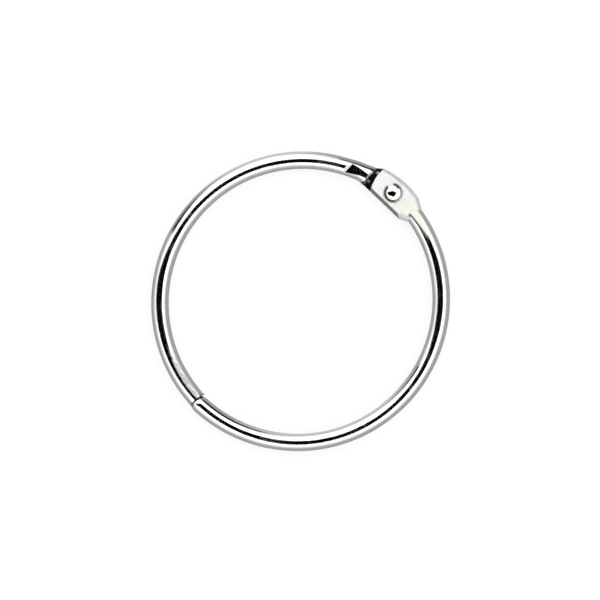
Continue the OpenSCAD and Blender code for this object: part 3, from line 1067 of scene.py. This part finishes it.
def finish_of(local, facing, at_joint, lower, from_wire):
    """Which finish a face has, by its place and direction in the half's own making frame."""
    if abs(at_joint.x) < CLOSURE_REACH and math.hypot(at_joint.y, at_joint.z) < CLOSURE_R:
        return "joint" if meets_other(at_joint, lower) else "wire"
    if abs(local.x) > HINGE_REACH or abs(local.y) > HINGE_HALF_WIDTH:
        return "wire"
    if facing.z > COINED_LEVEL and local.z > WIRE_R - 0.5:
        return "satin"
    if math.hypot(local.x, local.y) < SHANK_R + RIVET_CLEAR + HAIR:
        return "recess"
    if facing.z < -0.999 and abs(local.z) < 0.1:
        return "recess"
    at_corner = SHOULDER_LIP - SHOULDER_R - HAIR < local.x < SHOULDER_LIP + HAIR and local.z < HALF_GAP
    if at_corner and facing.x < -0.1 and abs(facing.y) < 0.02:
        return "recess"
    if facing.x < -0.7 and facing.z < -0.7 and local.x < SHOULDER_LIP + 0.5:
        return "lip"
    if from_wire > 0.03 and local.z > HALF_GAP - HAIR and local.x < LEAF_ROOT:
        inner = facing.y < 0 and facing.x < 0.15 and local.x > 0.9 * -LEAF_END
        return "inner_edge" if inner else "outer_edge"
    return "wire"


def finish_faces(made, lower, finishes):
    """Every face of a half gets the finish of its region."""
    mesh = made.data
    for label in FINISHES:
        mesh.materials.append(finishes[label])
    place, centre, arc_r = making_frame(lower)
    into, at_joint = (METRES @ place).inverted(), (METRES @ JOINT_FRAME).inverted()
    turn = into.to_3x3().normalized()
    for face in mesh.polygons:
        local = into @ face.center
        aside = (Vector((local.x, local.y, 0)) - centre).length - arc_r
        from_wire = math.hypot(aside, local.z) - WIRE_R - (0 if lower else SHOULDER_SWELL)
        facing = (turn @ face.normal).normalized()
        label = finish_of(local, facing, at_joint @ face.center, lower, from_wire)
        face.material_index = FINISHES.index(label)


shared = {
    "satin": coined_satin(),
    "recess": oiled_recess(),
    "lip": shoulder_lip(),
    # the inner edge: the same sheared edge in a darker colour, as painted shade
    "inner_edge": sheared_edge("leaf_inner_edge", (0.47, 0.475, 0.44), (0.85, 0.85, 0.82), 0.3, 1.0),
    "outer_edge": sheared_edge("leaf_outer_edge", (0.96, 0.96, 0.95), (0.98, 0.98, 0.97), 0.62, 0.45),
    "joint": joint_face(),
}

for name, lower in (("upper_half", False), ("lower_half", True)):
    piece = half(name + "_piece", lower)
    wire = bright_nickel(
        "bright_nickel_" + name[:5],
        LOWER_CENTRE if lower else UPPER_CENTRE,
        0 if lower else 180,
        making_frame(lower)[0],
    )
    finish_faces(piece, lower, {"wire": wire, **shared})
    piece.data.shade_smooth()
    piece.data.set_sharp_from_angle(angle=math.radians(HALF_SHARP))
    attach(piece, "lower" if lower else "upper")
    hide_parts(name)

rivet = hinge_rivet()
rivet.name = "hinge_rivet_piece"
rivet.data.materials.append(rivet_nickel())
rivet.data.shade_smooth()
rivet.data.set_sharp_from_angle(angle=math.radians(RIVET_SHARP))
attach(rivet, "lower")
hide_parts("hinge_rivet")

# ---------------------------------------------------------------- studio, in metres and degrees

STUDIO_LIGHT = 1.74  # what the overhead card takes away is added to the light all round
WALL_LIGHT = 1.12
WALL_R, WALL_TOP = 1.1, 0.8
PANEL_AT = 108  # bearing of the bright panel
FLOOR_R, FLOOR_DROP = 1.6, 0.00002
STAGE_SIDES = 96
CARD_HEIGHT = 0.8  # of the overhead card
LOW_CARD_AT = 0.5  # how far off the upright cards stand

CAMERA_HEIGHT = 1.2
SENSOR = 36  # mm
FRAME_WIDTH = 0.1164  # what the camera takes in at the ring's middle
EYE_OVER = (-0.000118, 0.000254)


def studio_finish(name):
    """A material with no shader yet: the material and its nodes."""
    made = bpy.data.materials.new(name)
    made.use_nodes = True
    made.node_tree.nodes.clear()
    return made, made.node_tree


def glowing(tree, strength):
    made = node(tree, "ShaderNodeEmission")
    feed(tree, made.inputs["Strength"], strength)
    return made.outputs[0]


def surfaced(made, shader):
    tree = made.node_tree
    feed(tree, node(tree, "ShaderNodeOutputMaterial").inputs["Surface"], shader)
    return made


def black_card():
    """Black, which gives no light back."""
    made, tree = studio_finish("black_card")
    return surfaced(made, glowing(tree, 0.0))


def floor_finish():
    """A pale floor that the camera sees as white, with the ring's own soft shadow left on it."""
    made, tree = studio_finish("pale_floor")
    matt = node(tree, "ShaderNodeBsdfDiffuse")
    matt.inputs["Color"].default_value = (0.22, 0.22, 0.22, 1)
    path = node(tree, "ShaderNodeLightPath").outputs
    # the metal sees a grey floor, but white where the bright panel shines along it
    place = node(tree, "ShaderNodeTexCoord").outputs["Object"]
    along = vector(tree, "DOT_PRODUCT", place, turned(PANEL_AT - 4))
    aside = calc(tree, "ABSOLUTE", vector(tree, "DOT_PRODUCT", place, turned(PANEL_AT - 94)))
    beyond = ramped(tree, along, 0.024, 0.031)
    within = times(tree, ramped(tree, along, -0.009, -0.015), ramped(tree, along, -0.029, -0.027))
    shine = times(tree, calc(tree, "ADD", beyond, within), ramped(tree, aside, 0.018, 0.007))
    share = times(tree, path["Is Glossy Ray"], calc(tree, "MULTIPLY_ADD", shine, 0.3, 0.19))
    share = calc(tree, "ADD", share, path["Is Camera Ray"])
    share = calc(tree, "MAXIMUM", share, path["Is Transmission Ray"])
    both = node(tree, "ShaderNodeAddShader")
    feed(tree, both.inputs[0], matt.outputs[0])
    feed(tree, both.inputs[1], glowing(tree, times(tree, share, 0.82)))
    return surfaced(made, both.outputs[0])


def wall_finish():
    """A tent wall, graded from grey at the floor to white at its top, with one bright panel in it."""
    made, tree = studio_finish("tent_wall")
    place = node(tree, "ShaderNodeTexCoord").outputs["Object"]
    # the grey is darker and reaches higher on the right
    leftward = vector(tree, "DOT_PRODUCT", place, turned(185, 1 / WALL_R))
    top = ramped(tree, leftward, -1.0, 1.0, 1.0, 0.72, "LINEAR")
    foot = ramped(tree, leftward, -1.0, 1.0, 0.34, 0.58, "LINEAR")
    graded = ramped(tree, split(tree, place)["Z"], 0.0, top, foot, WALL_LIGHT)
    panel = ramped(tree, vector(tree, "DOT_PRODUCT", place, turned(PANEL_AT, 1 / WALL_R)), 0.82, 0.98)
    light = node(tree, "ShaderNodeMix", data_type="FLOAT")
    for label, value in (("Factor", panel), ("A", graded), ("B", WALL_LIGHT)):
        feed(tree, light.inputs[label], value)
    return surfaced(made, glowing(tree, light.outputs[0]))


def staged(name, shape, finish, on_camera=False):
    """A bmesh as a part of the studio, which the camera sees or only reflections do."""
    made = linked(name, shape)
    made.data.materials.append(finish)
    if not on_camera:
        made.visible_camera = made.visible_shadow = False
    return made


def studio_card(name, points):
    """A flat black card."""
    shape = bmesh.new()
    shape.faces.new([shape.verts.new(point) for point in points])
    return staged(name, shape, black)


black = black_card()

floor_shape = bmesh.new()
bmesh.ops.create_circle(floor_shape, cap_ends=True, segments=STAGE_SIDES, radius=FLOOR_R)
floor = staged("floor", floor_shape, floor_finish(), on_camera=True)
floor.location.z = -FLOOR_DROP

# the overhead card's outline: bearing from +X, and reach from straight up, degrees
CARD_OUTLINE = (
    (0, 28.3), (15, 31.5), (30, 18), (45, 20), (60, 16.4), (75, 19.8), (90, 18.4),
    (105, 20.7), (120, 22.2), (135, 24.8), (150, 29.6), (162, 45.5), (170, 54.2), (180, 52),
    (195, 48.2), (210, 44), (225, 31), (240, 31.5), (255, 32), (270, 31.8), (285, 30.3),
    (300, 26.4), (315, 25.2), (330, 24.7), (345, 25.1),
)


def overhead(bearing, reach):
    """A point of the overhead card."""
    edge = turned(bearing, CARD_HEIGHT * math.tan(math.radians(reach)))
    return (edge.x, edge.y, CARD_HEIGHT)


def reach_at(bearing):
    """The card's reach at any bearing, rounded between the bearings of its outline."""
    around = [(CARD_OUTLINE[-1][0] - 360, CARD_OUTLINE[-1][1]), *CARD_OUTLINE, (360, CARD_OUTLINE[0][1])]
    for (before, first), (after, second) in zip(around, around[1:]):
        if before <= bearing <= after:
            return first + (second - first) * smooth(before, after, bearing)


studio_card("overhead_card", [overhead(turn, reach_at(turn)) for turn in range(0, 360, 3)])


def low_card(name, corners):
    """An upright card, by the bearing and the height of each corner, degrees."""
    points = [
        turned(bearing, LOW_CARD_AT) + Vector((0, 0, LOW_CARD_AT * math.tan(math.radians(height))))
        for bearing, height in corners
    ]
    return studio_card(name, points)


LEFT_END = 151.3  # bearing where the left card stops
low_card(
    "low_card_left",
    ((130, -1), (LEFT_END, -1), (LEFT_END, 33), (146, 28), (141, 20), (136, 11), (130, 4)),
)
low_card("low_card_right", ((40, -1), (77, -1), (75, 16), (66, 26), (60, 32), (44, 38)))

# the left card goes on along the floor, up to the ring: bearings and reaches of its corners
FLOOR_STRIP = (
    (LEFT_END, LOW_CARD_AT), (133, LOW_CARD_AT), (133, 0.12), (137, 0.055), (141, 0.045), (146, 0.041),
    (LEFT_END, 0.038),
)
strip = [turned(*corner) + Vector((0, 0, FLOOR_DROP)) for corner in FLOOR_STRIP]
floor_card = studio_card("floor_card_left", strip)
floor_card.visible_diffuse = False

wall_shape = bmesh.new()
bmesh.ops.create_circle(wall_shape, segments=STAGE_SIDES, radius=WALL_R)
raised = bmesh.ops.extrude_edge_only(wall_shape, edges=wall_shape.edges[:])["geom"]
top_rim = [part for part in raised if isinstance(part, bmesh.types.BMVert)]
bmesh.ops.translate(wall_shape, verts=top_rim, vec=(0, 0, WALL_TOP))
staged("tent_wall", wall_shape, wall_finish())

world = bpy.data.worlds.new("studio")
bpy.context.scene.world = world
world.use_nodes = True
sky = world.node_tree.nodes["Background"].inputs
sky["Color"].default_value = (1, 1, 1, 1)
sky["Strength"].default_value = STUDIO_LIGHT

camera = bpy.data.cameras.new("camera")
camera.sensor_width = SENSOR
camera.lens = SENSOR * CAMERA_HEIGHT / FRAME_WIDTH
camera.clip_start, camera.clip_end = 0.01, 10
eye = bpy.data.objects.new("camera", camera)
bpy.context.scene.collection.objects.link(eye)
eye.location = (*EYE_OVER, MID_Z / 1000 + CAMERA_HEIGHT)
bpy.context.scene.camera = eye
bpy.context.scene.view_settings.view_transform = "Standard"

for material in bpy.data.materials:
    if material.use_nodes:
        laid_out(material.node_tree)
for group in bpy.data.node_groups:
    laid_out(group)
